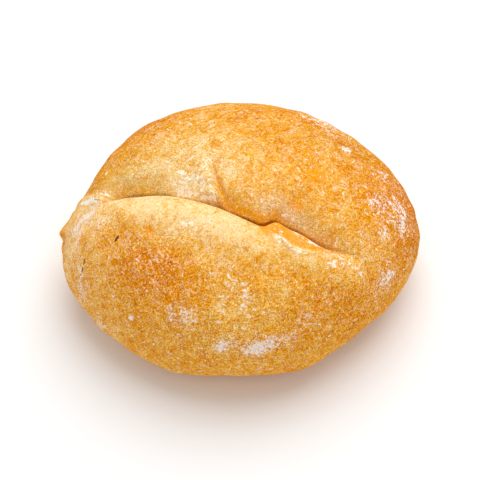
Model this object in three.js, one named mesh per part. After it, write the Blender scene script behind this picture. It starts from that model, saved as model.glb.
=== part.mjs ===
// A bread roll: one hand-shaped wheat roll, folded over so that a long crease runs across its top.
//
// Millimetres, +Z up. X runs along the roll, +Y is the far lobe and -Y the near lobe, which laps over the
// crease. The roll rests on the flat of its underside, on z = 0, with its middle at x = 0, y = 0.
//
// The skin is one closed surface over two parameters: an angle from the left end to the right end, and an
// angle around the roll that is 0 along the crease. Every form on it is a height in millimetres, worked out
// from the station x and from how far a point lies across the crease, positive on the far lobe.

import * as THREE from 'three';

// Driving dimensions of the smooth body.
const LENGTH = 112;
const NEAR_WIDTH = 45.5;
const FAR_WIDTH = 46.5;
const HEIGHT = 53;
const GIRTH_HEIGHT = 18;      // the widest level above the base
const UNDERSIDE_DEPTH = 26;   // how far the body would reach below that level if the base did not cut it
const SIDE_POWER = 2.2;       // 2 is an ellipse, more is fuller shoulders
const DRAWN_IN = 0.05;        // how much narrower the plan is on its diagonals than an ellipse
const BASE_SOFTNESS = 4;      // height over which the side rolls in to the flat base
const LEAST_GIRTH = 0.1;      // the ends are taken to be no thinner than this share of the girth ...
const FURTHEST_OFF = 0.75;    // ... and the crease to lie no further off the top than this share of it
const NOTHING = 1e-9;

// Uneven places of the rising dough: direction from the middle as azimuth (0 right end, 90 far side) and
// elevation, how wide each spreads, all in degrees, and its height.
const LUMPS = [
  { name: 'tip', azimuth: 170.2, elevation: 7.4, spread: 3, height: 1.3 },
  { name: 'point of the tip', azimuth: 171.6, elevation: 5.2, spread: 1.8, height: 1.2 },
  { name: 'left nick', azimuth: 164.6, elevation: 15.5, spread: 3, height: -0.6 },
  { name: 'below the tip', azimuth: 176.4, elevation: 2.5, spread: 3, height: 0.5 },
  { name: 'left waist', azimuth: 181, elevation: -2, spread: 9.5, height: 1 },
  { name: 'left lower cheek', azimuth: 194, elevation: -4, spread: 7, height: 0.8 },
  { name: 'far left cheek', azimuth: 150, elevation: 15, spread: 22, height: -0.3 },
  { name: 'far left shoulder', azimuth: 125, elevation: 22, spread: 20, height: 3 },
  { name: 'far crest', azimuth: 92, elevation: 25, spread: 22, height: 0.8 },
  { name: 'far right shoulder', azimuth: 55, elevation: 18, spread: 22, height: 1.6 },
  { name: 'right end', azimuth: 1, elevation: 0, spread: 10, height: 0.8 },
  { name: 'right point', azimuth: 356, elevation: 1.5, spread: 3.5, height: 0.4 },
  { name: 'right upper flat', azimuth: 5, elevation: 7, spread: 4, height: -0.5 },
  { name: 'right flat', azimuth: 308, elevation: -12, spread: 9, height: -1.4 },
  { name: 'near right belly', azimuth: 290, elevation: -14, spread: 8, height: 0.7 },
  { name: 'near flat', azimuth: 266, elevation: -22, spread: 14, height: -1.5 },
  { name: 'near left belly', azimuth: 234, elevation: -16, spread: 17, height: 1.7 },
  { name: 'near left cheek', azimuth: 212, elevation: -6, spread: 14, height: 0.7 },
];

// The crease: where it runs, as the y of a point every CREASE_STEP along x from CREASE_START.
const CREASE_START = -56;
const CREASE_STEP = 8;
const CREASE_Y = [-2, 1.8, 5.7, 4, 2.1, -1.3, -5.5, -10.6, -15, -15.6, -19.9, -21.7, -23.2];
const HOLLOW_DEPTH = 4.5;     // the broad hollow of the far lobe's inner side ...
const HOLLOW_LEFT = 14;       // ... with its width left of HOLLOW_FROM ...
const HOLLOW_RIGHT = 8;       // ... and right of HOLLOW_TO
const HOLLOW_FROM = -20;
const HOLLOW_TO = 20;
const CREASE_DEPTH = 3.5;     // the steeper trough within it
const CREASE_WIDTH = 4.5;
const NEAR_WALL = 2.2;        // width of the steep wall under the near lobe's lip
const SLIT_DEPTH = 3;         // the narrow gap at its bottom
const SLIT_WIDTH = 0.9;
const FADE_FROM = 12;         // the crease grows shallow from here to the right ...
const FADE_TO = 38;           // ... and has gone here

// The near lobe's lip: a swelling behind the crease whose edge leans out over it.
const LIP_HEIGHT = 1.4;
const LIP_BACK = 7;
const LIP_WIDTH = 5;
const LIP_OVERHANG = 2.2;
const LIP_EDGE = 1.6;
const LIP_EDGE_WIDTH = 1.9;
const LIP_RISE = 9;           // how far from the pinch the swelling grows to its full height

// Left end: the crease is pinched shut along a ridge, and runs on as a shallow valley to the tip.
const PINCH_X = -42.5;
const PINCH_LEAN = Math.atan2(8, 11);   // the ridge runs up the far lobe, leaning out to the left end
const PINCH_RUN = 6.5;
const PINCH_RIDGE = 1.2;
const PINCH_RIDGE_WIDTH = 1.8;
const PINCH_RISE = 2.8;
const VALLEY_DEPTH = 1.1;
const VALLEY_WIDTH = 2.6;
const VALLEY_END = 4;         // how far before the pinch's ridge the valley begins

// The torn flap on the near side of the crease, right of the middle.
const FLAP_X = 14;
const FLAP_LENGTH = 9.2;
const FLAP_REACH = 6.5;       // how far it comes down over the near lobe
const FLAP_SINK = 1.4;
const FLAP_TURN = 1;          // half the width over which its face turns down at either side
const FLAP_RIM = 1.4;
const FLAP_RIM_WIDTH = 1.6;
const FLAP_EDGE = 0.8;        // the ragged ridge along its lower side
const FLAP_EDGE_WIDTH = 0.9;
const FLAP_BULGE_X = 9.8;    // where it pushes the crease towards the far lobe
const FLAP_BULGE = 3.2;
const FLAP_BULGE_LENGTH = 3.3;

// The wrinkle that runs down the far lobe into the crease, and the thick fold at its foot.
const WRINKLE_X = -8.3;
const WRINKLE_TURN = 4.5;
const WRINKLE_DEPTH = 1.5;
const WRINKLE_WIDTH = 1;
const WRINKLE_MIDDLE = 8;
const WRINKLE_LENGTH = 6;
const WRINKLE_SWELL = 1.3;
const SWELL_LEFT = 3.5;       // the swelling stands this far to the left of the wrinkle
const SWELL_WIDTH = 3;
const FOLD = { x: -9.5, across: 3.6, long: 2.8, wide: 1.2, height: 2.2 };

// How finely the skin is divided.
const STATIONS = 100;
const ROUNDS = 48;
const CREASE_CROWDING = 0.72; // how much closer the divisions lie at the crease than on average

const degrees = THREE.MathUtils.degToRad;
const bell = (distance, width) => Math.exp(-((distance / width) ** 2));
const rise = (value, from, to) => THREE.MathUtils.smoothstep(value, from, to);

/** The y of the crease at station x: a smooth curve through CREASE_Y, pushed out where the flap lies. */
function creaseY(x) {
  const last = CREASE_Y.length - 1;
  const place = THREE.MathUtils.clamp((x - CREASE_START) / CREASE_STEP, 0, last);
  const i = Math.min(Math.floor(place), last - 1);
  const t = place - i;
  const before = CREASE_Y[Math.max(i - 1, 0)];
  const after = CREASE_Y[Math.min(i + 2, last)];
  const [here, next] = [CREASE_Y[i], CREASE_Y[i + 1]];
  const slope = (next - before) / 2;
  const nextSlope = (after - here) / 2;
  const curve = here + t * (slope + t * (3 * (next - here) - 2 * slope - nextSlope
    + t * (2 * (here - next) + slope + nextSlope)));
  return curve + FLAP_BULGE * bell(x - FLAP_BULGE_X, FLAP_BULGE_LENGTH);
}

/** The angle around the roll at which the crease lies, for the station at angle u from the left end. */
function creaseAngle(u) {
  const halfGirth = FAR_WIDTH * Math.max(Math.sin(u), LEAST_GIRTH);
  const share = creaseY(-LENGTH / 2 * Math.cos(u)) / halfGirth;
  return Math.asin(THREE.MathUtils.clamp(share, -FURTHEST_OFF, FURTHEST_OFF));
}

/** The unit vector that a lump points along. */
function lumpDirection({ azimuth, elevation }) {
  const level = Math.cos(degrees(elevation));
  return new THREE.Vector3(
    level * Math.cos(degrees(azimuth)),
    level * Math.sin(degrees(azimuth)),
    Math.sin(degrees(elevation)),
  );
}

/** The smooth body along a unit direction: a squared-off ellipsoid, drawn in on its diagonals, with lumps. */
function bodyPoint(direction) {
  const { x, y, z } = direction;
  const level = Math.max(Math.hypot(x, y), NOTHING);
  const fullness = (level ** SIDE_POWER + Math.abs(z) ** SIDE_POWER) ** (-1 / SIDE_POWER);
  const reach = fullness * (1 - DRAWN_IN * (2 * x * y / level) ** 2);
  const point = new THREE.Vector3(
    x * reach * LENGTH / 2,
    y * reach * (y < 0 ? NEAR_WIDTH : FAR_WIDTH),
    z * reach * (z < 0 ? UNDERSIDE_DEPTH : HEIGHT - GIRTH_HEIGHT),
  );
  for (const lump of LUMPS) {
    const away = 2 * (1 - direction.dot(lumpDirection(lump)));
    point.addScaledVector(direction, lump.height * Math.exp(-away / degrees(lump.spread) ** 2));
  }
  return point;
}

/** How far a place lies past the pinch's ridge, towards the open crease. */
function pastPinch(x, across) {
  return (x - PINCH_X) * Math.cos(PINCH_LEAN) + across * Math.sin(PINCH_LEAN);
}

/** How far the trough of the crease is open at a place: 0 past the pinch and where it has faded. */
function openness(x, across) {
  return rise(pastPinch(x, across), 0, PINCH_RISE) * (1 - rise(x, FADE_FROM, FADE_TO));
}

/** The height that the folds add to the body, outwards, at station x and a distance across the crease. */
function foldHeight(x, across) {
  const open = openness(x, across);
  const hollow = HOLLOW_LEFT + (HOLLOW_RIGHT - HOLLOW_LEFT) * rise(x, HOLLOW_FROM, HOLLOW_TO);
  const farSlope = HOLLOW_DEPTH * bell(across, hollow) + CREASE_DEPTH * bell(across, CREASE_WIDTH);
  const nearWall = (HOLLOW_DEPTH + CREASE_DEPTH) * bell(across, NEAR_WALL);
  let height = -open * ((across > 0 ? farSlope : nearWall) + SLIT_DEPTH * bell(across, SLIT_WIDTH));
  const swollen = rise(x, PINCH_X, PINCH_X + LIP_RISE) * (1 - rise(x, FADE_FROM, FADE_TO));
  height += swollen * LIP_HEIGHT * bell(across + LIP_BACK, LIP_WIDTH);

  const alongPinch = across * Math.cos(PINCH_LEAN) - (x - PINCH_X) * Math.sin(PINCH_LEAN);
  const pinched = bell(alongPinch - PINCH_RUN / 2, PINCH_RUN / 2)
    * rise(alongPinch, -PINCH_RIDGE_WIDTH, PINCH_RIDGE_WIDTH);
  height += PINCH_RIDGE * pinched * bell(pastPinch(x, across), PINCH_RIDGE_WIDTH);
  height -= VALLEY_DEPTH * bell(across, VALLEY_WIDTH) * (1 - rise(x, PINCH_X - VALLEY_END, PINCH_X));

  const flap = bell(x - FLAP_X, FLAP_LENGTH);
  const flapEdge = across + FLAP_REACH * flap;
  const face = rise(flapEdge, -FLAP_TURN, FLAP_TURN) * (1 - rise(across, -FLAP_TURN, FLAP_TURN));
  height -= FLAP_SINK * flap * face;
  height += flap * FLAP_RIM * bell(across + FLAP_RIM_WIDTH, FLAP_RIM_WIDTH);
  height += flap * FLAP_EDGE * bell(flapEdge, FLAP_EDGE_WIDTH);

  const wrinkle = x - WRINKLE_X - WRINKLE_TURN * bell(across, WRINKLE_LENGTH);
  const alongWrinkle = bell(across - WRINKLE_MIDDLE, WRINKLE_LENGTH);
  height -= WRINKLE_DEPTH * alongWrinkle * bell(wrinkle, WRINKLE_WIDTH);
  height += WRINKLE_SWELL * alongWrinkle * bell(wrinkle + SWELL_LEFT, SWELL_WIDTH);
  height += FOLD.height * bell(x - FOLD.x, FOLD.long) * bell(across - FOLD.across, FOLD.wide);
  return height;
}

/** Flattens what lies below z = 0 on to it, over a soft turn. */
function settle(z) {
  if (z > BASE_SOFTNESS) return z;
  return z < -BASE_SOFTNESS ? 0 : (z + BASE_SOFTNESS) ** 2 / (4 * BASE_SOFTNESS);
}

/** A point of the skin: u is 0 at the left end and PI at the right, turn is 0 along the crease. */
function skinPoint(u, turn) {
  const angle = turn + creaseAngle(u) * Math.cos(turn / 2) ** 2;
  const direction = new THREE.Vector3(
    -Math.cos(u),
    Math.sin(u) * Math.sin(angle),
    Math.sin(u) * Math.cos(angle),
  );
  const point = bodyPoint(direction);
  const across = Math.hypot(point.y, point.z) * turn;
  const outwards = new THREE.Vector3(
    point.x / (LENGTH / 2) ** 2,
    point.y / FAR_WIDTH ** 2,
    point.z / (HEIGHT - GIRTH_HEIGHT) ** 2,
  ).normalize();
  const lean = LIP_OVERHANG * openness(point.x, across) * bell(across + LIP_EDGE, LIP_EDGE_WIDTH);
  point.addScaledVector(outwards, foldHeight(point.x, across));
  point.y += lean;
  point.z = settle(point.z + GIRTH_HEIGHT);
  return point;
}

/** The whole skin as a closed mesh: rings of points between the two ends, which are one point each. */
function rollGeometry() {
  const positions = [];
  const triangles = [];
  const add = (point) => positions.push(point.x, point.y, point.z);
  add(skinPoint(0, 0));
  for (let i = 1; i < STATIONS; i += 1) {
    for (let j = 0; j < ROUNDS; j += 1) {
      const even = (2 * j / ROUNDS - 1) * Math.PI;
      add(skinPoint(Math.PI * i / STATIONS, even - CREASE_CROWDING * Math.sin(even)));
    }
  }
  add(skinPoint(Math.PI, 0));

  const rightEnd = positions.length / 3 - 1;
  const ring = (i, j) => 1 + (i - 1) * ROUNDS + j % ROUNDS;
  for (let j = 0; j < ROUNDS; j += 1) {
    triangles.push(0, ring(1, j), ring(1, j + 1));
    for (let i = 1; i < STATIONS - 1; i += 1) {
      const [a, b, c, d] = [ring(i, j), ring(i, j + 1), ring(i + 1, j), ring(i + 1, j + 1)];
      triangles.push(a, c, b, b, c, d);
    }
    triangles.push(rightEnd, ring(STATIONS - 1, j + 1), ring(STATIONS - 1, j));
  }
  const geometry = new THREE.BufferGeometry();
  geometry.setAttribute('position', new THREE.Float32BufferAttribute(positions, 3));
  geometry.setIndex(triangles);
  return geometry;
}

/** Moves a geometry so that the middle of its box is at x = 0, y = 0 and its base on z = 0. */
function centreOnBase(geometry) {
  geometry.computeBoundingBox();
  const { min, max } = geometry.boundingBox;
  geometry.translate(-(min.x + max.x) / 2, -(min.y + max.y) / 2, -min.z);
  geometry.computeVertexNormals();
  return geometry;
}

const crust = new THREE.MeshStandardMaterial({ color: 0xe0a458, roughness: 0.8, metalness: 0 });
const roll = new THREE.Mesh(centreOnBase(rollGeometry()), crust);
roll.name = 'bread_roll';

const part = new THREE.Group();
part.add(roll);

export default part;
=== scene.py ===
"""A bread roll on a pale table: one hand-shaped wheat roll, folded over so that a crease crosses its top.

Metres, +Z up. X runs along the roll, +Y is the far lobe and -Y the near lobe, which laps over the crease.
"""

import math

import bpy
import numpy as np
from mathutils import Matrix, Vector


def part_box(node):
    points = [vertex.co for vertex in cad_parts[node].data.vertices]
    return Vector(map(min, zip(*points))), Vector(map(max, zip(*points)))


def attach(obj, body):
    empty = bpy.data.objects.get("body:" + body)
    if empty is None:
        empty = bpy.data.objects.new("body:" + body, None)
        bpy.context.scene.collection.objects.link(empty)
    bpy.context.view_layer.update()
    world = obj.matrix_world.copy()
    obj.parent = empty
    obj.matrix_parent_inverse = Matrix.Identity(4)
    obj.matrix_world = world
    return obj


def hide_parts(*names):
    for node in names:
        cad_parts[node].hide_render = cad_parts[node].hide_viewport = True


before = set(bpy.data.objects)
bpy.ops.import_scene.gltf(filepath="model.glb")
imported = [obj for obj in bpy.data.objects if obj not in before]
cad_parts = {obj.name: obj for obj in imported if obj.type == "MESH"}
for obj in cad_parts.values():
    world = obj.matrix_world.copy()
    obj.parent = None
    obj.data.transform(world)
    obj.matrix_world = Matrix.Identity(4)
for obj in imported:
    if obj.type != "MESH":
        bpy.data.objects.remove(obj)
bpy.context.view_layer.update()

# ---------------------------------------------------------------------------------------------------------
# The view. A long lens looks down on the roll from in front, so that both lobes and the crease between
# them show. Its colours are kept as they are, with no film curve.
# ---------------------------------------------------------------------------------------------------------

VIEW_AZIMUTH = math.radians(-5)
VIEW_ELEVATION = math.radians(58)
VIEW_DISTANCE = 0.69
VIEW_TARGET = Vector((-0.0003, -0.0013, 0.022))
LENS = 164.2               # both in the camera's millimetres
SENSOR = 36

camera_data = bpy.data.cameras.new("camera")
camera_data.lens = LENS
camera_data.sensor_width = SENSOR
camera = bpy.data.objects.new("camera", camera_data)
bpy.context.scene.collection.objects.link(camera)
towards_camera = Vector((
    math.sin(VIEW_AZIMUTH) * math.cos(VIEW_ELEVATION),
    -math.cos(VIEW_AZIMUTH) * math.cos(VIEW_ELEVATION),
    math.sin(VIEW_ELEVATION),
))
camera.location = VIEW_TARGET + VIEW_DISTANCE * towards_camera
camera.rotation_euler = towards_camera.to_track_quat("Z", "Y").to_euler()
bpy.context.scene.camera = camera
bpy.context.scene.view_settings.view_transform = "Standard"

# ---------------------------------------------------------------------------------------------------------
# The roll: one piece of wheat dough, flattened, folded over on itself and pinched at its left end, then
# baked on a tray. The near lobe has risen over the fold, and its lip leans out over the crease.
# ---------------------------------------------------------------------------------------------------------

LENGTH = 0.112
NEAR_WIDTH = 0.0455        # from the middle line to the near side ...
FAR_WIDTH = 0.0465         # ... and to the far side
HEIGHT = 0.053
GIRTH_HEIGHT = 0.018       # the widest level above the base
UNDERSIDE_DEPTH = 0.026    # how far the body would reach below that level if the base did not cut it
SIDE_POWER = 2.2           # 2 is an ellipse, more is fuller shoulders
DRAWN_IN = 0.05            # how much narrower the plan is on its diagonals than an ellipse
BASE_SOFTNESS = 0.004      # height over which the side rolls in to the flat base

# Uneven places of the rising dough: direction as azimuth (0 right end, 90 far side) and elevation, how
# wide each spreads, all in degrees, and its height.
LUMPS = [
    ("tip", 170.2, 7.4, 3, 0.0013),
    ("tip's point", 171.6, 5.2, 1.8, 0.0012),
    ("left nick", 164.6, 15.5, 3, -0.0006),
    ("below the tip", 176.4, 2.5, 3, 0.0005),
    ("left waist", 181, -2, 9.5, 0.0010),
    ("left lower cheek", 194, -4, 7, 0.0008),
    ("far left cheek", 150, 15, 22, -0.0003),
    ("far left shoulder", 125, 22, 20, 0.003),
    ("far crest", 92, 25, 22, 0.0008),
    ("far right shoulder", 55, 18, 22, 0.0016),
    ("right end", 1, 0, 10, 0.0008),
    ("right point", 356, 1.5, 3.5, 0.0004),
    ("right upper flat", 5, 7, 4, -0.0005),
    ("right flat", 308, -12, 9, -0.0014),
    ("near right belly", 290, -14, 8, 0.0007),
    ("near flat", 266, -22, 14, -0.0015),
    ("near left belly", 234, -16, 17, 0.0017),
    ("near left cheek", 212, -6, 14, 0.0007),
]

# The crease: its y at a point every CREASE_STEP along x from CREASE_START.
CREASE_START = -0.056
CREASE_STEP = 0.008
CREASE_Y = 0.001 * np.array([-2, 1.8, 5.7, 4, 2.1, -1.3, -5.5, -10.6, -15.0, -15.6, -19.9, -21.7, -23.2])
HOLLOW_DEPTH = 0.0045      # the broad hollow of the far lobe's inner side ...
HOLLOW_LEFT, HOLLOW_RIGHT = 0.014, 0.008   # ... its width on the left and on the right ...
HOLLOW_TURN = 0.02         # ... and how far from the middle it has narrowed on either side
CREASE_DEPTH = 0.0035      # the steeper trough within it
CREASE_WIDTH = 0.0045
NEAR_WALL = 0.0022         # width of the steep wall under the near lobe's lip
SLIT_DEPTH = 0.0030        # the narrow gap at the bottom
SLIT_WIDTH = 0.0009
FADE_FROM = 0.012          # the crease grows shallow from here to the right ...
FADE_TO = 0.038            # ... and has gone here

# The near lobe's lip: a swelling behind the crease whose edge leans out over it.
LIP_HEIGHT = 0.0014
LIP_BACK = 0.007
LIP_WIDTH = 0.005
LIP_OVERHANG = 0.0022
LIP_EDGE = 0.0016
LIP_EDGE_WIDTH = 0.0019
LIP_RISE = 0.009           # how far from the pinch the swelling grows to its full height

# Left end: the crease is pinched shut along a ridge, and runs on as a shallow valley to the tip.
PINCH_X = -0.0425
PINCH_LEAN = math.atan2(8, 11)   # the ridge runs up the far lobe, leaning out to the left end
PINCH_RUN = 0.0065
PINCH_RIDGE = 0.0012
PINCH_RIDGE_WIDTH = 0.0018
PINCH_RISE = 0.0028
VALLEY_DEPTH = 0.0011
VALLEY_WIDTH = 0.0026
VALLEY_END = 0.004         # how far before the pinch's ridge the valley begins

# The torn flap on the near side of the crease, right of the middle.
FLAP_X = 0.014
FLAP_LENGTH = 0.0092
FLAP_REACH = 0.0065        # how far it comes down over the near lobe
FLAP_SINK = 0.0014         # how deep the torn face lies ...
FLAP_STEP = 0.001          # ... and half the width of the steps down to it
FLAP_RIM = 0.0014
FLAP_RIM_WIDTH = 0.0016
FLAP_EDGE = 0.0008         # the ragged ridge along its lower side
FLAP_EDGE_WIDTH = 0.0009
FLAP_BULGE_X = 0.0098      # where it pushes the crease towards the far lobe
FLAP_BULGE = 0.0032
FLAP_BULGE_LENGTH = 0.0033

# The wrinkle that runs down the far lobe into the crease, and the thick fold at its foot.
WRINKLE_X = -0.0083
WRINKLE_TURN = 0.0045
WRINKLE_DEPTH = 0.0015
WRINKLE_WIDTH = 0.001
WRINKLE_MIDDLE = 0.008
WRINKLE_LENGTH = 0.006
WRINKLE_SWELL = 0.0013
SWELL_LEFT, SWELL_WIDTH = 0.0035, 0.003
FOLD_X, FOLD_ACROSS, FOLD_LONG, FOLD_WIDE, FOLD_HEIGHT = -0.0095, 0.0036, 0.0028, 0.0012, 0.0022

# The hand-shaped dough is never quite smooth: long shallow waves cross it in all directions.
WAVE_COUNT = 18
WAVE_LENGTHS = (0.007, 0.024)
WAVE_HEIGHT = 0.00005
WAVE_SEED = 11

STATIONS = 330             # divisions along the roll ...
ROUNDS = 300               # ... and around it
CREASE_CROWDING = 0.6      # how much closer the divisions lie at the crease than on average
LEAST_GIRTH = 0.1          # near the ends, the crease's turn is worked out on at least this much girth ...
MOST_TURN = 0.75           # ... and the sine of that turn is held to this
TINY = 1e-9                # keeps a division at the poles from failing


def bell(distance, width):
    """A smooth hump: 1 at distance 0, falling to 1/e at width on either side."""
    return np.exp(-(distance / width) ** 2)


def rise(value, low, high):
    """A smooth step: 0 up to low, 1 from high on, an S between them."""
    t = np.clip((value - low) / (high - low), 0, 1)
    return t * t * (3 - 2 * t)


def crease_y(x):
    """The crease's y at station x: a smooth cubic through CREASE_Y, plus a hump where the flap pushes it."""
    last = len(CREASE_Y) - 1
    place = np.clip((x - CREASE_START) / CREASE_STEP, 0, last)
    i = np.minimum(place.astype(int), last - 1)
    t = place - i
    before, here = CREASE_Y[np.maximum(i - 1, 0)], CREASE_Y[i]
    ahead, after = CREASE_Y[i + 1], CREASE_Y[np.minimum(i + 2, last)]
    slope, slope_ahead = (ahead - before) / 2, (after - here) / 2
    bend = 3 * (ahead - here) - 2 * slope - slope_ahead
    twist = 2 * (here - ahead) + slope + slope_ahead
    curve = here + t * (slope + t * (bend + t * twist))
    return curve + FLAP_BULGE * bell(x - FLAP_BULGE_X, FLAP_BULGE_LENGTH)


def lump_direction(azimuth, elevation):
    """The unit vector at an azimuth and elevation in degrees."""
    a, e = math.radians(azimuth), math.radians(elevation)
    return np.array([math.cos(e) * math.cos(a), math.cos(e) * math.sin(a), math.sin(e)])


def body(direction):
    """The smooth body along unit directions: an ellipsoid whose sides follow |level|^p + |z|^p = 1, with p
    the side power, drawn in by the square of the sine of twice the plan angle, and raised by each lump's
    hump over the angle to that lump."""
    x, y, z = direction
    level = np.maximum(np.hypot(x, y), TINY)
    reach = (level ** SIDE_POWER + np.abs(z) ** SIDE_POWER) ** (-1 / SIDE_POWER)
    reach = reach * (1 - DRAWN_IN * (2 * x * y / level) ** 2)
    halves = np.array([
        np.full_like(x, LENGTH / 2),
        np.where(y < 0, NEAR_WIDTH, FAR_WIDTH),
        np.where(z < 0, UNDERSIDE_DEPTH, HEIGHT - GIRTH_HEIGHT),
    ])
    place = direction * reach * halves
    for _, azimuth, elevation, spread, height in LUMPS:
        nearness = np.tensordot(lump_direction(azimuth, elevation), direction, 1)
        place = place + direction * height * np.exp(-2 * (1 - nearness) / math.radians(spread) ** 2)
    return place


def past_pinch(x, across):
    """How far a place lies past the pinch's ridge, towards the open crease."""
    return (x - PINCH_X) * math.cos(PINCH_LEAN) + across * math.sin(PINCH_LEAN)


def openness(x, across):
    """How far the trough of the crease is open: 0 before the pinch and where it has faded, 1 between."""
    return rise(past_pinch(x, across), 0, PINCH_RISE) * (1 - rise(x, FADE_FROM, FADE_TO))


def fold_height(x, across):
    """The height of the folds at station x and a distance across the crease: the trough, gentle on the far
    side and steep on the near one, with its slit; the lip's swelling; the pinch and the valley; the flap
    with its rim and ragged edge; and the wrinkle with its swelling and the fold at its foot."""
    opened = openness(x, across)
    hollow = HOLLOW_LEFT + (HOLLOW_RIGHT - HOLLOW_LEFT) * rise(x, -HOLLOW_TURN, HOLLOW_TURN)
    far_slope = HOLLOW_DEPTH * bell(across, hollow) + CREASE_DEPTH * bell(across, CREASE_WIDTH)
    near_wall = (HOLLOW_DEPTH + CREASE_DEPTH) * bell(across, NEAR_WALL)
    height = -opened * (np.where(across > 0, far_slope, near_wall) + SLIT_DEPTH * bell(across, SLIT_WIDTH))
    swollen = rise(x, PINCH_X, PINCH_X + LIP_RISE) * (1 - rise(x, FADE_FROM, FADE_TO))
    height += swollen * LIP_HEIGHT * bell(across + LIP_BACK, LIP_WIDTH)

    along_pinch = across * math.cos(PINCH_LEAN) - (x - PINCH_X) * math.sin(PINCH_LEAN)
    pinched = bell(along_pinch - PINCH_RUN / 2, PINCH_RUN / 2)
    pinched *= rise(along_pinch, -PINCH_RIDGE_WIDTH, PINCH_RIDGE_WIDTH)
    height += PINCH_RIDGE * pinched * bell(past_pinch(x, across), PINCH_RIDGE_WIDTH)
    height -= VALLEY_DEPTH * bell(across, VALLEY_WIDTH) * (1 - rise(x, PINCH_X - VALLEY_END, PINCH_X))

    flap = bell(x - FLAP_X, FLAP_LENGTH)
    flap_edge = across + FLAP_REACH * flap
    sunken = rise(flap_edge, -FLAP_STEP, FLAP_STEP) * (1 - rise(across, -FLAP_STEP, FLAP_STEP))
    height -= FLAP_SINK * flap * sunken
    height += flap * FLAP_RIM * bell(across + FLAP_RIM_WIDTH, FLAP_RIM_WIDTH)
    height += flap * FLAP_EDGE * bell(flap_edge, FLAP_EDGE_WIDTH)

    wrinkle = x - WRINKLE_X - WRINKLE_TURN * bell(across, WRINKLE_LENGTH)
    along_wrinkle = bell(across - WRINKLE_MIDDLE, WRINKLE_LENGTH)
    height -= WRINKLE_DEPTH * along_wrinkle * bell(wrinkle, WRINKLE_WIDTH)
    height += WRINKLE_SWELL * along_wrinkle * bell(wrinkle + SWELL_LEFT, SWELL_WIDTH)
    height += FOLD_HEIGHT * bell(x - FOLD_X, FOLD_LONG) * bell(across - FOLD_ACROSS, FOLD_WIDE)
    return height


def waves(place):
    """Unevenness of the dough: a sum of plane waves with seeded directions, lengths and starts."""
    draw = np.random.default_rng(WAVE_SEED)
    total = np.zeros_like(place[0])
    for _ in range(WAVE_COUNT):
        heading = draw.normal(size=3)
        heading *= 2 * math.pi / (np.linalg.norm(heading) * draw.uniform(*WAVE_LENGTHS))
        total += np.sin(np.tensordot(heading, place, 1) + draw.uniform(0, 2 * math.pi))
    return WAVE_HEIGHT * total


def skin(u, turn):
    """The crust over u, the angle from the left end, and turn, the angle around from the crease. The point
    of the body in that direction moves outwards by the folds and the waves, the lip's edge moves across
    the crease, and what lies below the base is settled on to it. Gives the place, its station along the
    roll and its distance across the crease."""
    half_girth = FAR_WIDTH * np.maximum(np.sin(u), LEAST_GIRTH)
    crease_share = crease_y(-LENGTH / 2 * np.cos(u)) / half_girth
    crease_angle = np.arcsin(np.clip(crease_share, -MOST_TURN, MOST_TURN))
    angle = turn + crease_angle * np.cos(turn / 2) ** 2
    place = body(np.array([-np.cos(u) + 0 * turn, np.sin(u) * np.sin(angle), np.sin(u) * np.cos(angle)]))
    across = np.hypot(place[1], place[2]) * turn
    outwards = place / np.array([LENGTH / 2, FAR_WIDTH, HEIGHT - GIRTH_HEIGHT])[:, None, None] ** 2
    outwards = outwards / np.linalg.norm(outwards, axis=0)
    lean = LIP_OVERHANG * openness(place[0], across) * bell(across + LIP_EDGE, LIP_EDGE_WIDTH)
    station = place[0]
    place = place + outwards * (fold_height(station, across) + waves(place))
    place[1] += lean
    height = place[2] + GIRTH_HEIGHT
    softened = np.clip(height + BASE_SOFTNESS, 0, None) ** 2 / (4 * BASE_SOFTNESS)
    place[2] = np.where(height > BASE_SOFTNESS, height, softened)
    return place, station, across


u = np.linspace(0, math.pi, STATIONS + 1)[:, None]
even = np.linspace(-math.pi, math.pi, ROUNDS, endpoint=False)[None, :]
place, station, across = skin(u, even - CREASE_CROWDING * np.sin(even))


def skin_values(grid):
    """A value for each vertex of the crust from a value at each place of the grid, whose first and last
    rows are one vertex each."""
    return np.concatenate([grid[:1, 0], grid[1:-1].ravel(), grid[-1:, 0]])


def skin_faces():
    """The crust's faces: a ring of triangles at each end, and quads between neighbouring rings."""
    ring = 1 + np.arange((STATIONS - 1) * ROUNDS).reshape(STATIONS - 1, ROUNDS)
    ahead = np.roll(ring, -1, axis=1)
    left, right = 0, (STATIONS - 1) * ROUNDS + 1
    quads = np.stack([ring[:-1], ring[1:], ahead[1:], ahead[:-1]], axis=-1).reshape(-1, 4)
    left_end = np.stack([np.full(ROUNDS, left), ring[0], ahead[0]], axis=-1)
    right_end = np.stack([np.full(ROUNDS, right), ahead[-1], ring[-1]], axis=-1)
    return left_end.tolist() + quads.tolist() + right_end.tolist()


vertices = np.stack([skin_values(axis) for axis in place], axis=-1)
low, high = (np.array(corner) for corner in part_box("bread_roll"))
vertices[:, :2] += (low + high)[:2] / 2 - (vertices.min(axis=0) + vertices.max(axis=0))[:2] / 2
crust_mesh = bpy.data.meshes.new("crust")
crust_mesh.from_pydata(vertices.tolist(), [], skin_faces())
crust_mesh.polygons.foreach_set("use_smooth", np.ones(len(crust_mesh.polygons), dtype=bool))
crust = bpy.data.objects.new("crust", crust_mesh)
bpy.context.scene.collection.objects.link(crust)
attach(crust, "root")
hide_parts("bread_roll")

# ---------------------------------------------------------------------------------------------------------
# The crust's finish: dry and finely grained, golden where it rose into the heat, pale where the fold kept
# it covered until late, with flour from the bench baked on in patches and caught in every hollow.
# ---------------------------------------------------------------------------------------------------------


def linear(red, green, blue):
    """A colour for a shader from its red, green and blue of 0 to 255, undoing the screen's curve."""
    screen = np.array([red, green, blue]) / 255
    light = np.where(screen <= 0.04045, screen / 12.92, ((screen + 0.055) / 1.055) ** 2.4)
    return (*light.tolist(), 1.0)


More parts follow.
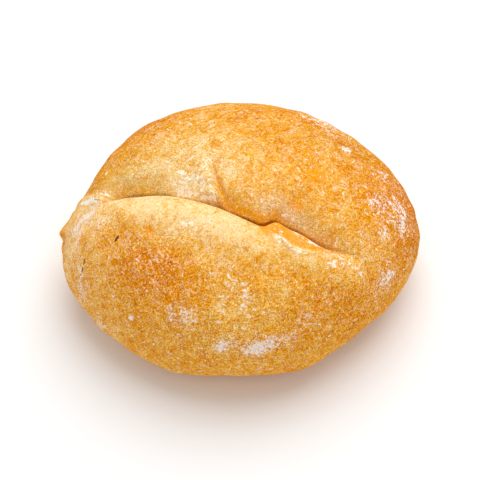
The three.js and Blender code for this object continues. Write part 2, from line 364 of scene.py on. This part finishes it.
# Where the crust is browned, pale or floured: x, y and z of the middle, how far it spreads, how strongly.
BROWNED = [
    ("near lobe's top", -0.0285, -0.0235, 0.043, 0.0115, 0.48),
    ("far crest", 0.000, 0.030, 0.046, 0.016, 0.25),
    ("far right shoulder", 0.030, 0.020, 0.040, 0.020, 0.25),
    ("right end", 0.048, -0.002, 0.030, 0.016, 0.6),
    ("near right belly", 0.030, -0.030, 0.028, 0.014, 0.25),
    ("tip", -0.0555, 0.003, 0.0235, 0.0025, 0.8),
    ("far left edge", -0.043, 0.026, 0.030, 0.014, 0.35),
    ("far left shoulder", -0.026, 0.034, 0.038, 0.010, 0.3),
]
PALE = [
    ("far slope", -0.032, 0.010, 0.045, 0.012, 0.35),
    ("far lobe's middle", -0.008, 0.015, 0.050, 0.016, 0.4),
    ("left end", -0.052, -0.002, 0.026, 0.010, 0.25),
    ("right of the crease", 0.034, -0.024, 0.040, 0.007, 0.2),
    ("near lobe's left shoulder", -0.0465, 0.002, 0.0375, 0.006, 0.35),
    ("near lobe's upper left", -0.0225, -0.0135, 0.0503, 0.008, 0.2),
]
FLOURED = [
    ("near belly", 0.0005, -0.0447, 0.0290, 0.0034, 0.95),
    ("near belly, left part", -0.0060, -0.0440, 0.0310, 0.0034, 0.45),
    ("near belly, far left part", -0.0105, -0.0435, 0.0290, 0.0030, 0.4),
    ("near belly, right part", 0.0055, -0.0442, 0.0299, 0.0031, 0.75),
    ("near belly, far right part", 0.0110, -0.0427, 0.0308, 0.0034, 0.42),
    ("near belly, upper right part", 0.0165, -0.0385, 0.0345, 0.0036, 0.42),
    ("near left belly", -0.0225, -0.0345, 0.0370, 0.0042, 0.42),
    ("near left belly, right part", -0.0185, -0.0372, 0.0362, 0.0036, 0.4),
    ("near belly, left specks", -0.0095, -0.0433, 0.0300, 0.002, 0.6),
    ("near speck", -0.0362, -0.0306, 0.0287, 0.0010, 1.3),
    ("left cheek", -0.0510, -0.0160, 0.0220, 0.005, 0.6),
    ("left cheek, upper part", -0.0500, -0.0110, 0.0300, 0.004, 0.4),
    ("left cheek, lower part", -0.0470, -0.0260, 0.0150, 0.005, 0.5),
    ("far pit", -0.0170, 0.0048, 0.0465, 0.0025, 0.6),
    ("right end", 0.0450, -0.0040, 0.0400, 0.008, 0.38),
    ("right end, upper part", 0.0455, 0.0070, 0.0394, 0.003, 0.45),
    ("right end, inner part", 0.0405, -0.0040, 0.0437, 0.0025, 0.38),
    ("right end, outer part", 0.0500, -0.0035, 0.0360, 0.003, 0.55),
    ("right end, outer lower part", 0.0497, -0.0089, 0.0341, 0.003, 0.45),
    ("right end, middle", 0.0430, -0.0131, 0.0399, 0.003, 0.45),
    ("right end, lower part", 0.0430, -0.0240, 0.0292, 0.0045, 0.72),
    ("far right", 0.0346, 0.0154, 0.0436, 0.002, 0.9),
    ("far crest's right", 0.0300, 0.0300, 0.0375, 0.008, 0.6),
    ("above the flap", 0.0130, -0.0080, 0.0480, 0.004, 0.3),
]

# Where the grain is coarsest, and where it is finest.
COARSE = [
    ("near lobe's top", -0.0285, -0.0235, 0.043, 0.014, 0.3),
    ("near belly", -0.005, -0.040, 0.028, 0.018, 0.35),
    ("near right belly", 0.030, -0.030, 0.028, 0.020, 0.3),
    ("right end", 0.050, -0.002, 0.026, 0.016, 0.5),
    ("left cheek", -0.048, -0.018, 0.024, 0.016, 0.2),
    ("left end", -0.053, 0.003, 0.028, 0.008, -0.35),
    ("pinch", -0.046, 0.009, 0.038, 0.006, -0.3),
]

# Narrow places, by their line over the crust: pairs of station along x and distance across the crease, in
# millimetres, then the half width in metres and the strength.
ORANGE = [
    ("flap's face", [(5.5, -2.2), (8, -2.6), (10.5, -3.6), (13, -4.2), (16, -3.9), (19, -3.2), (22.5, -1.8)],
     0.0014, 1.5),
    ("flap's top", [(4.5, -2.0), (7, -2.1), (10, -2.3), (13.5, -2.8)], 0.0007, 1.3),
    ("near spot", [(-29, -12), (-28.2, -11)], 0.0012, 1.1),
    ("far spot", [(1.5, 27), (3, 26)], 0.0014, 1.1),
    ("far right spot", [(20.5, 22), (22, 22.5)], 0.0013, 1.1),
    ("far right spot below", [(22, 16), (24, 17)], 0.0017, 1.1),
    ("spot above the flap", [(16, 6.5), (17, 7)], 0.0016, 1.1),
    ("spot on the pinch", [(-45.3, 5.2), (-44.9, 5.4)], 0.0006, 1.0),
]
# Deep amber along the wrinkle and in the crease: partly the crust's own colour and partly painted shade of
# these hollows; above the lip, at the bottom of the crease and beside the flap it is painted shade.
AMBER_AND_SHADE = [
    ("wrinkle", [(-8, 13), (-7.9, 11), (-7.5, 9), (-6.9, 7.4)], 0.0005, 1.0),
    ("wrinkle's wedge", [(-6.9, 7.4), (-6.6, 5.8), (-5.8, 4.3), (-4.8, 3.2)], 0.0012, 1.1),
    ("above the lip", [(-43.8, 6.5), (-41, 4.8), (-37.8, 4.0), (-33, 3.4), (-29.8, 3)], 0.0018, 0.6),
    ("bottom of the crease", [(-5, 2.6), (-1, 2.8), (2, 2.8), (5, 2.6), (8.5, 2.4), (12, 2.2)], 0.0016, 1.5),
    ("beside the flap", [(15, 2.0), (18, 1.9), (21, 1.4), (24, 1.1), (28, 0.8)], 0.0006, 0.9),
]
CREAM = [
    ("pinch", [(-44.2, 1.2), (-45.9, 2.8), (-48.0, 5.0), (-49.5, 7)], 0.0006, 1.3),
    ("curl beside the pinch", [(-47, 9.6), (-44.6, 7.4), (-42.8, 4.6)], 0.0007, 0.75),
    ("thick fold", [(-13.4, 2.7), (-11.2, 2.8), (-8.6, 2.9)], 0.0004, 1.5),
    ("foot of the slope", [(-20.5, 3.4), (-18, 3.4), (-15.6, 3.1)], 0.0013, 0.8),
    ("stretched skin", [(-10.8, 12), (-9.8, 8.5), (-9.2, 5)], 0.0017, 0.5),
    ("stretched skin beside it", [(-17, 7), (-14.5, 6.2), (-12, 5)], 0.0036, 0.5),
    ("above the flap", [(7, 4.6), (9.5, 4.6), (12.5, 4.6), (15, 3.7), (18.5, 3.4)], 0.0014, 0.4),
    ("flap's ragged edge", [(9.6, -5.7), (11.5, -6.4), (13.5, -6.9), (15.5, -6.5)], 0.0013, 0.65),
    ("flap's torn rim", [(15.0, -2.2), (16.4, -2.2), (17.6, -2.8)], 0.0004, 0.85),
    ("flap's end", [(19.4, -2.5), (21.4, -2.1), (23.4, -1.5)], 0.0006, 1.05),
    ("right of the flap", [(24, -4), (28, -3), (33, -3)], 0.0025, 0.45),
    ("near streak", [(-5.3, -17), (-5.5, -22), (-6.4, -26)], 0.0014, 0.4),
    ("near streak, left", [(-8.2, -28), (-8.9, -32), (-9.3, -36)], 0.0012, 0.45),
    ("near streak, right", [(-2.0, -22), (-2.3, -27), (-1.7, -33)], 0.0014, 0.5),
    ("arc on the near lobe", [(-18.5, -9), (-16.5, -8.5), (-14.5, -9)], 0.0007, 0.7),
]
HAZE = [
    ("foot of the slope", [(-21, 4.4), (-16.5, 4.6), (-12.5, 3.8)], 0.0040, 0.55),
    ("near lobe's left shoulder", [(-48, 0.2), (-44, -3.5), (-40, -5)], 0.0030, 0.25),
    ("above the flap", [(5.5, 6.2), (12, 5.6), (15, 4.6), (19, 4.0)], 0.0021, 0.35),
    ("right end of the crease", [(15, 3.2), (19, 2.9), (23, 2.5), (28, 1.9)], 0.0015, 0.35),
    ("cap of the pinch", [(-49, 7), (-46, 6.5), (-44, 6)], 0.0025, 0.35),
    ("left end", [(-47.9, 3.5), (-51, 4.5), (-54, 5)], 0.0020, 0.3),
]
STREAKED = [
    ("left cheek", [(-43.2, -1.3), (-45.5, -0.5), (-48.1, 0.5), (-50.1, 0.9), (-52.2, 1.7)], 0.0016, 0.45),
    ("near cheek", [(-41, -5.8), (-43.4, -6.5), (-45.8, -6.5)], 0.0014, 0.45),
    ("left end", [(-51.2, -2.9), (-52.4, -3.4)], 0.0014, 0.5),
]
# Narrow slits, a mark and a pit, painted dark as the shade inside them.
OPENING_SHADES = [
    ("slit_shade", [(-39.3, -12.6), (-38.4, -11.9)], 0.00032, 0.95),
    ("slit at the left", [(-49.4, -10.0), (-49.7, -10.6)], 0.00024, 0.9),
    ("slit below it", [(-50.2, -11.4), (-50.5, -12.0)], 0.00024, 0.9),
    ("mark on the pinch", [(-44.8, 1.9), (-43.9, 0.9), (-43.2, 0.2)], 0.00010, 0.6),
    ("pit on the far slope", [(-32.9, 7.0), (-32.7, 6.9)], 0.00026, 0.5),
]

# Painted shade at the bottom of the crease, where the lip shuts it off from the light: station and how far
# up the far side it reaches, in millimetres, and how dark it is there.
SHUT_SHADE = [
    (-42, 3.2, 0.5), (-33, 3.1, 0.85), (-26, 2.6, 0.75), (-20, 2.1, 0.3), (-10, 1.9, 0.3), (-5, 2.1, 0.9),
    (4, 2.1, 1), (9.6, 1.8, 1), (14, 1.9, 0.8), (20, 1.5, 0.6), (26, 1.1, 0.4), (34, 0.9, 0),
]
SHUT_FROM = -0.001         # the distance across at which it begins
SHUT_SOFTNESS = 0.0003     # half the width of its far edge

# The trough's painted shade and the pale lip: pairs of station and width, and the stretch over which each
# fades in, as a distance across the crease or, for the lip's left end, as a station.
TROUGH_WIDTHS = [(-0.04, 0.010), (0, 0.006)]
TROUGH_EDGE = (-0.002, 0.001)
LIP_WIDTHS = [(-0.020, 0.0078), (-0.008, 0.0078), (0.004, 0.0048)]
LIP_MIDDLE = 0.006
LIP_BORDER = (-0.001, 0.002)
LIP_LEFT_END = (-0.047, -0.030)
VALLEY_FLOUR_WIDTH = 0.003

# How browned, floured and coarse the crust is in general, and what the lip, the base and the valley add.
BROWNING, LIP_BROWNING, BASE_BROWNING = 0.45, -0.4, 0.3
FLOUR, VALLEY_FLOUR = 0.12, 0.3
COARSENESS, LIP_COARSENESS = 0.55, -0.2
COARSENESS_RANGE = (0.3, 1)

# The painted shade on the near side, the far side and the right end: the stretch over which each begins,
# along its own axis.
NEAR_SIDE = (0.012, 0.040)
FAR_SIDE = (0, 0.020)
RIGHT_SIDE = (0.012, 0.040)
RIGHT_SIDE_BACK = (-0.022, -0.002)
FAR_SHARE, RIGHT_SHARE = 0.6, 0.4


def spread_over(places):
    """For each vertex, the sum of a hump around each named place, by its distance in space."""
    total = np.zeros(len(vertices))
    for _, x, y, z, reach, strength in places:
        total += strength * bell(np.linalg.norm(vertices - (x, y, z), axis=1), reach)
    return total


def drawn_over(lines):
    """For each vertex, the most that any named line gives it: a hump over the distance to the nearest
    point of its segments, measured along the crust."""
    spot = np.stack([station_v, across_v], axis=-1)
    most = np.zeros(len(vertices))
    for _, points, half_width, strength in lines:
        points = 0.001 * np.array(points)
        for start, end in zip(points[:-1], points[1:]):
            run = end - start
            along = np.clip((spot - start) @ run / (run @ run), 0, 1)
            away = np.linalg.norm(spot - start - along[:, None] * run, axis=1)
            most = np.maximum(most, strength * bell(away, half_width))
    return most


def along_roll(table):
    """For each vertex, a value read at its station from pairs of station and value."""
    stations, values = np.array(table).T
    return np.interp(station_v, stations, values)


def keep(name, values):
    """Stores a number for each vertex of the crust under a name that its material reads."""
    crust_mesh.attributes.new(name, "FLOAT", "POINT").data.foreach_set("value", values.astype(np.float32))


station_v, across_v = skin_values(station), skin_values(across)
open_v = openness(station_v, across_v)
# Painted shade in the trough, up the far side of the crease.
shaded_trough = np.sqrt(open_v) * bell(across_v, along_roll(TROUGH_WIDTHS)) * rise(across_v, *TROUGH_EDGE)
lip = open_v * rise(station_v, *LIP_LEFT_END) * bell(across_v + LIP_MIDDLE, along_roll(LIP_WIDTHS))
lip *= rise(-across_v, *LIP_BORDER)
valley = 1 - rise(station_v, PINCH_X - VALLEY_END, PINCH_X)
valley *= bell(across_v, VALLEY_FLOUR_WIDTH)
at_base = 1 - rise(vertices[:, 2], 0, BASE_SOFTNESS)
browning = spread_over(BROWNED) - spread_over(PALE)
keep("browning", BROWNING + browning + LIP_BROWNING * lip + BASE_BROWNING * at_base)
keep("flour", FLOUR + spread_over(FLOURED) + drawn_over(STREAKED) + VALLEY_FLOUR * valley)
keep("coarse", np.clip(COARSENESS + spread_over(COARSE) + LIP_COARSENESS * lip, *COARSENESS_RANGE))
keep("shaded_trough", shaded_trough)
# Painted shade on the near side, and on the far side and the right end.
right_side = rise(vertices[:, 0], *RIGHT_SIDE) * rise(vertices[:, 1], *RIGHT_SIDE_BACK)
keep("near_side_shade", rise(-vertices[:, 1], *NEAR_SIDE))
keep("far_side_shade", FAR_SHARE * rise(vertices[:, 1], *FAR_SIDE) + RIGHT_SHARE * right_side)
# Painted shade at the bottom of the crease, reaching a little way up the far side.
shut_reach = along_roll([(0.001 * station, 0.001 * reach) for station, reach, _ in SHUT_SHADE])
shut_dark = along_roll([(0.001 * station, dark) for station, _, dark in SHUT_SHADE])
shut_edge = rise(across_v, shut_reach - SHUT_SOFTNESS, shut_reach + SHUT_SOFTNESS)
keep("slit_shade", open_v * shut_dark * rise(across_v, SHUT_FROM, 0) * (1 - shut_edge))
keep("orange", drawn_over(ORANGE))
keep("cream", drawn_over(CREAM))
# Amber in the hollows: partly the crust's own colour, partly painted shade.
keep("amber_and_shade", drawn_over(AMBER_AND_SHADE))
keep("haze", drawn_over(HAZE))
crust_mesh.attributes.new("surface", "FLOAT_VECTOR", "POINT").data.foreach_set(
    "vector", np.stack([station_v, across_v, 0 * station_v], axis=-1).astype(np.float32).ravel())


class Shader:
    """A material's nodes, added one after another: each call gives the node's output socket."""

    def __init__(self, name):
        self.material = bpy.data.materials.new(name)
        self.material.use_nodes = True
        self.tree = self.material.node_tree
        self.surface = self.tree.nodes["Principled BSDF"]

    def set(self, node, inputs):
        """Sets or links each named input of a node."""
        for name, value in inputs.items():
            socket = node.inputs[name]
            if isinstance(value, bpy.types.NodeSocket):
                self.tree.links.new(value, socket)
            else:
                socket.default_value = value

    def add(self, kind, output, inputs, **settings):
        """Adds a node of a kind with its settings and inputs, and gives one of its outputs."""
        node = self.tree.nodes.new(kind)
        for name, value in settings.items():
            setattr(node, name, value)
        self.set(node, inputs)
        return node.outputs[output]

    def value(self, name):
        """The number stored for each vertex under a name."""
        return self.add("ShaderNodeAttribute", "Fac", {}, attribute_name=name)

    def sum(self, first, second):
        """Two numbers added."""
        return self.add("ShaderNodeMath", 0, {0: first, 1: second}, operation="ADD")

    def times(self, first, second):
        """Two numbers multiplied."""
        return self.add("ShaderNodeMath", 0, {0: first, 1: second}, operation="MULTIPLY")

    def mapped(self, value, low, high, to_low=0.0, to_high=1.0):
        """A number carried from one range to another, and held at its ends."""
        return self.add("ShaderNodeMapRange", "Result", {
            "Value": value, "From Min": low, "From Max": high, "To Min": to_low, "To Max": to_high,
        })

    def noise(self, where, size, detail=3.0, roughness=0.5):
        """Cloudy noise around 0.5, with features of a size in metres."""
        return self.add("ShaderNodeTexNoise", "Fac", {
            "Vector": where, "Scale": 1 / size, "Detail": detail, "Roughness": roughness,
        })

    def vectors(self, operation, first, second, output="Vector"):
        """Two vectors combined by an operation."""
        return self.add("ShaderNodeVectorMath", output, {0: first, 1: second}, operation=operation)

    def apart(self, where, offset):
        """A place moved by an offset on every axis, so that two patterns read there don't fall together."""
        return self.vectors("ADD", where, (offset,) * 3)

    def jitter(self, where, size, reach):
        """A shift of place by noise of a size in metres, over a reach on each axis from end to end."""
        noise = self.add("ShaderNodeTexNoise", "Color", {"Vector": where, "Scale": 1 / size, "Detail": 2.0})
        return self.vectors("MULTIPLY", self.vectors("SUBTRACT", noise, (0.5,) * 3), reach)

    def bubbles(self, where, size):
        """The distance to the middle of the nearest bubble, in bubbles of a size in metres."""
        return self.add("ShaderNodeTexVoronoi", "Distance", {"Vector": where, "Scale": 1 / size})

    def off(self, value, level):
        """How far a number lies from a level, above or below it."""
        difference = self.add("ShaderNodeMath", 0, {0: value, 1: level}, operation="SUBTRACT")
        return self.add("ShaderNodeMath", 0, {0: difference}, operation="ABSOLUTE")

    def away(self, where, start, end):
        """The distance from a place to the nearest point of the segment between two points."""
        run = (end[0] - start[0], end[1] - start[1], 0.0)
        squared = run[0] ** 2 + run[1] ** 2
        offset = self.vectors("SUBTRACT", where, (*start, 0.0))
        dot = self.vectors("DOT_PRODUCT", offset, run, "Value")
        along = self.mapped(dot, 0.0, squared)
        nearest = self.vectors("MULTIPLY", run, self.add("ShaderNodeCombineXYZ", "Vector", {
            0: along, 1: along, 2: along,
        }))
        return self.vectors("DISTANCE", offset, nearest, "Value")

    def mixed(self, factor, first, second, blend="MIX"):
        """Two colours mixed by a factor."""
        return self.add("ShaderNodeMix", 2, {0: factor, 6: first, 7: second},
                        data_type="RGBA", blend_type=blend)

    def laid(self, under, over, cover, amount):
        """A colour laid over another where a cover says, as thickly as the amount says."""
        return self.mixed(self.times(cover, amount), under, over)


look = Shader("crust")
where = look.add("ShaderNodeTexCoord", "Object", {})

# The dough was rolled and stretched by hand, so its marks are drawn out into curls.
CURL_SIZE = 0.005
CURL_REACH = 0.008

drawn = look.vectors("ADD", where, look.jitter(where, CURL_SIZE, (CURL_REACH,) * 3))

# Browning: the stored field, broken up by clouds from the size of a thumb down to single bubbles, each
# with its size and how far it browns or pales. Then the colour at each degree of browning.
CLOUDS = [(0.016, 0.3), (0.005, 0.3), (0.0020, 0.5), (0.0008, 0.6)]
PALEST, BROWNEST = linear(250, 214, 154), linear(214, 118, 0)
BETWEEN = [(0.3, linear(242, 180, 78)), (0.65, linear(230, 147, 10))]

browning = look.value("browning")
for size, amount in CLOUDS:
    browning = look.sum(browning, look.mapped(look.noise(drawn, size), 0, 1, -amount, amount))
colour = look.add("ShaderNodeValToRGB", "Color", {"Fac": browning})
stops = colour.node.color_ramp.elements
stops[0].color, stops[1].color = PALEST, BROWNEST
for degree, between in BETWEEN:
    stops.new(degree).color = between

# In the trough the colour is painted yellower, darker and duller: painted shade of the crease. The skin
# there has stretched into fine threads that run down into the crease.
TROUGH_SHADE_COLOUR = linear(198, 152, 42)
THREAD_COLOUR = linear(240, 196, 112)
THREAD_SIZE = 0.0011
THREAD_SCALE = (1.0, 0.16, 1.0)     # least across the crease, which draws the threads out that way
THREAD_RANGE = (0.35, 0.65)

surface = look.add("ShaderNodeAttribute", "Vector", {}, attribute_name="surface")
threads = look.noise(look.vectors("MULTIPLY", surface, THREAD_SCALE), THREAD_SIZE, 2.0)
threads = look.mapped(threads, *THREAD_RANGE)
trough_shade_mask = look.value("shaded_trough")
colour = look.laid(colour, TROUGH_SHADE_COLOUR, trough_shade_mask, 0.8)
colour = look.laid(colour, THREAD_COLOUR, look.times(trough_shade_mask, threads), 0.4)

# Places with ragged edges: deep amber in the creases, partly their own colour and partly painted shade,
# smooth orange skin, and a haze of pale stretched dough.
AMBER_SHADE_COLOUR = linear(232, 162, 12)
ORANGE_COLOUR = linear(245, 156, 12)
HAZE_COLOUR = linear(250, 226, 170)
RAG_SIZE = 0.0013
RAG_REACH = 2.2

ragged = look.mapped(look.noise(drawn, RAG_SIZE, 4.0, 0.7), 0, 1, -RAG_REACH, RAG_REACH)
slightly = look.times(ragged, 0.4)
amber_and_shade = look.mapped(look.sum(look.value("amber_and_shade"), slightly), 0.3, 0.9)
orange = look.mapped(look.sum(look.value("orange"), slightly), 0.3, 0.8)
colour = look.laid(colour, AMBER_SHADE_COLOUR, amber_and_shade, 0.85)
colour = look.laid(colour, ORANGE_COLOUR, orange, 0.85)
colour = look.mixed(look.value("haze"), colour, HAZE_COLOUR)

# How rough the skin is: 1 in general, and less where it is orange or lies in the trough.
SMOOTHEST = 0.2
rough = look.mapped(look.sum(orange, look.times(trough_shade_mask, 0.5)), 0, 1, 1, SMOOTHEST)

# Spots a few millimetres wide where the skin is smooth and deep orange, and others where it is pale.
SPOT_COLOUR, SPOT_SIZE, SPOT_RANGE = linear(230, 142, 18), 0.0034, (0.58, 0.68)
PATCH_COLOUR, PATCH_SIZE, PATCH_RANGE = linear(255, 216, 174), 0.0032, (0.55, 0.66)

spots = look.mapped(look.noise(look.apart(drawn, 0.1), SPOT_SIZE, 2.0), *SPOT_RANGE)
colour = look.laid(colour, SPOT_COLOUR, spots, 0.55)
patches = look.mapped(look.noise(look.apart(drawn, 0.2), PATCH_SIZE, 4.0, 0.7), *PATCH_RANGE)
colour = look.laid(colour, PATCH_COLOUR, look.times(patches, rough), 0.5)

# Cream flecks in broken arcs, where the skin of a bubble has dried over a paler inside.
FLECK_COLOUR = linear(255, 214, 154)
FLECK_SIZE, FLECK_WIDTH = 0.0024, 0.03
BREAK_SIZE, BREAK_RANGE = 0.0011, (0.46, 0.6)

arcs = look.mapped(look.off(look.noise(drawn, FLECK_SIZE, 3.0), 0.5), 0.0, FLECK_WIDTH, 1, 0)
broken = look.mapped(look.noise(where, BREAK_SIZE, 2.0), *BREAK_RANGE)
colour = look.laid(colour, FLECK_COLOUR, look.times(look.times(arcs, broken), rough), 0.8)

# Blisters: scattered pale dots, each on the middle of a small bubble.
DOT_COLOUR = linear(255, 214, 156)
DOT_SIZE, DOT_EDGE = 0.0014, (0.12, 0.34)
DOTTED_SIZE, DOTTED_RANGE = 0.004, (0.47, 0.6)

dots = look.mapped(look.bubbles(where, DOT_SIZE), *DOT_EDGE, 1, 0)
dotted = look.mapped(look.noise(where, DOTTED_SIZE, 3.0), *DOTTED_RANGE)
colour = look.laid(colour, DOT_COLOUR, look.times(look.times(dots, dotted), rough), 0.8)

# Burst blisters: on the coarse parts some of the bubbles have left a pale ring.
RING_COLOUR = linear(255, 218, 164)
RING_SIZE, RING_RADIUS, RING_EDGE = 0.0024, 0.27, (0.02, 0.07)
RINGED_SIZE, RINGED_RANGE = 0.003, (0.48, 0.56)
RINGED_COARSENESS = (0.55, 0.9)

rings = look.off(look.bubbles(look.apart(drawn, 0.4), RING_SIZE), RING_RADIUS)
rings = look.mapped(rings, *RING_EDGE, 1, 0)
ringed = look.mapped(look.noise(look.apart(where, 0.5), RINGED_SIZE, 2.0), *RINGED_RANGE)
rings = look.times(look.times(rings, ringed), look.mapped(look.value("coarse"), *RINGED_COARSENESS))
colour = look.laid(colour, RING_COLOUR, rings, 0.75)

# The finest grain: dark pores between light grains, and single crumbs, stronger on the coarse parts.
PORE, GRAIN = (0.56, 0.44, 0.24, 1.0), (1.36, 1.42, 1.52, 1.0)
GRAIN_SIZE, GRAIN_RANGE = 0.00042, (0.33, 0.67)
CRUMB_COLOUR = linear(255, 220, 172)
CRUMB_SIZE, CRUMB_RANGE = 0.0007, (0.64, 0.70)

grains = look.mapped(look.noise(look.apart(where, 0.3), GRAIN_SIZE, 1.0), *GRAIN_RANGE)
grained = look.mixed(1.0, colour, look.mixed(grains, PORE, GRAIN), "MULTIPLY")
colour = look.mixed(look.value("coarse"), colour, grained)
crumbs = look.mapped(look.noise(look.apart(where, 0.7), CRUMB_SIZE, 1.0), *CRUMB_RANGE)
crumbs = look.times(look.times(crumbs, look.value("coarse")), rough)
colour = look.laid(colour, CRUMB_COLOUR, crumbs, 0.7)

# Painted shade: the near side is tinted yellower, the far side and the right end darker and duller.
NEAR_SHADE_TINT = (1.0, 0.97, 0.71, 1.0)
FAR_SHADE_TINT = (0.85, 0.917, 0.967, 1.0)
for side, shade_tint in (("near_side_shade", NEAR_SHADE_TINT), ("far_side_shade", FAR_SHADE_TINT)):
    colour = look.mixed(look.value(side), colour, look.mixed(1.0, colour, shade_tint, "MULTIPLY"))

# Ragged cream marks, where the dough tore or stretched and its inside shows.
CREAM_COLOUR = linear(255, 247, 232)
cream = look.mapped(look.sum(look.value("cream"), ragged), 0.4, 0.9)
colour = look.laid(colour, CREAM_COLOUR, cream, 0.9)

# Flour: lacy patches, broken by fine grit, that cover more of the crust the more flour lies there.
FLOUR_COLOUR = linear(252, 238, 230)
LACE_SIZE, GRIT_SIZE = 0.0026, 0.0006
LACE_RANGE, GRIT_RANGE = (0.88, 0.97), (0.38, 0.58)
THINNEST, THICKEST = 0.5, 0.95

grit = look.noise(where, GRIT_SIZE, 1.0)
lace = look.sum(look.noise(drawn, LACE_SIZE, 5.0, 0.8), look.times(grit, 0.4))
cover = look.mapped(look.sum(lace, look.times(look.value("flour"), 0.3)), *LACE_RANGE)
thickness = look.mapped(grit, *GRIT_RANGE, THINNEST, THICKEST)
colour = look.laid(colour, FLOUR_COLOUR, cover, thickness)

# Loose flour: fine white specks over the floured places.
DUST_COLOUR = linear(255, 244, 236)
DUST_SIZE, DUST_RANGE = 0.0008, (0.58, 0.64)
DUSTED_FLOUR = (0.25, 0.7)

dust = look.mapped(look.noise(look.apart(where, 0.6), DUST_SIZE, 2.0), *DUST_RANGE)
dust = look.times(dust, look.mapped(look.value("flour"), *DUSTED_FLOUR))
colour = look.laid(colour, DUST_COLOUR, dust, 0.9)

# Painted shade in dark openings: the bottom of the crease, and narrow slits where the skin has torn and
# a pit, along lines that are shaken a little.
SHUT_SHADE_COLOUR = linear(104, 58, 8)
SLIT_SHADE_COLOUR = linear(92, 50, 0)
SHAKE_SIZE, SHAKE_REACH = 0.001, 0.0006
SLIT_INNER, SLIT_OUTER = 0.6, 1.5   # where a slit's edge begins and ends, in half widths
SHUT_RAG, SHUT_THINNEST = 0.5, 0.5  # the crease's bottom is ragged, and at least this dark

shut_shade = look.times(look.value("slit_shade"), look.mapped(ragged, -SHUT_RAG, SHUT_RAG, SHUT_THINNEST, 1))
colour = look.laid(colour, SHUT_SHADE_COLOUR, shut_shade, 0.85)
torn = look.vectors("ADD", surface, look.jitter(where, SHAKE_SIZE, (SHAKE_REACH, SHAKE_REACH, 0.0)))
# Each slit and pit: painted shade along its segments.
for _, points, half_width, strength in OPENING_SHADES:
    for start, end in zip(points[:-1], points[1:]):
        start, end = (tuple(0.001 * part for part in point) for point in (start, end))
        edge = (half_width * SLIT_INNER, half_width * SLIT_OUTER)
        opening_shade = look.mapped(look.away(torn, start, end), *edge, 1, 0)
        colour = look.laid(colour, SLIT_SHADE_COLOUR, opening_shade, strength)

# Relief: fine pores, and the shallow blisters between them. The crust is dry, and driest under flour.
PORE_SIZE, PORE_DEPTH = 0.0005, 0.0002
BLISTER_SIZE, BLISTER_HEIGHT = 0.0028, 0.0005
RELIEF = 0.6
CRUST_ROUGHNESS, FLOUR_ROUGHNESS = 0.6, 0.9

relief = {"Height": look.noise(where, BLISTER_SIZE, 2.0), "Distance": BLISTER_HEIGHT, "Strength": RELIEF}
relief = look.add("ShaderNodeBump", "Normal", relief)
relief = look.add("ShaderNodeBump", "Normal", {
    "Height": look.noise(where, PORE_SIZE, 3.0, 0.6), "Distance": PORE_DEPTH, "Strength": RELIEF,
    "Normal": relief,
})
look.set(look.surface, {
    "Base Color": colour,
    "Roughness": look.mapped(cover, 0, 1, CRUST_ROUGHNESS, FLOUR_ROUGHNESS),
    "Specular IOR Level": 0.0,
    "Normal": relief,
})
crust_mesh.materials.append(look.material)

# ---------------------------------------------------------------------------------------------------------
# The table and the light: a pale matt table top that runs out of view, a broad soft light overhead and
# white walls all round.
# ---------------------------------------------------------------------------------------------------------

TABLE_HALF = 1.5
TABLE_COLOUR = (0.92, 0.92, 0.92, 1)
TABLE_ROUGHNESS = 0.9
KEY_PLACE = Vector((0.16, 0.36, 0.92))
KEY_SIZE = 1.0
KEY_POWER = 7.5
WALL_LIGHT = 0.64

table_mesh = bpy.data.meshes.new("table")
table_corners = [(-TABLE_HALF, -TABLE_HALF, 0), (TABLE_HALF, -TABLE_HALF, 0),
                 (TABLE_HALF, TABLE_HALF, 0), (-TABLE_HALF, TABLE_HALF, 0)]
table_mesh.from_pydata(table_corners, [], [(0, 1, 2, 3)])
table = bpy.data.objects.new("table", table_mesh)
bpy.context.scene.collection.objects.link(table)
table_look = Shader("table")
table_look.set(table_look.surface, {"Base Color": TABLE_COLOUR, "Roughness": TABLE_ROUGHNESS})
table_mesh.materials.append(table_look.material)

key_data = bpy.data.lights.new("key", "AREA")
key_data.shape = "DISK"
key_data.size = KEY_SIZE
key_data.energy = KEY_POWER
key = bpy.data.objects.new("key", key_data)
bpy.context.scene.collection.objects.link(key)
key.location = KEY_PLACE
key.rotation_euler = (KEY_PLACE - VIEW_TARGET).to_track_quat("Z", "Y").to_euler()

walls = bpy.data.worlds.new("walls")
walls.use_nodes = True
walls.node_tree.nodes["Background"].inputs["Color"].default_value = (1, 1, 1, 1)
walls.node_tree.nodes["Background"].inputs["Strength"].default_value = WALL_LIGHT
bpy.context.scene.world = walls
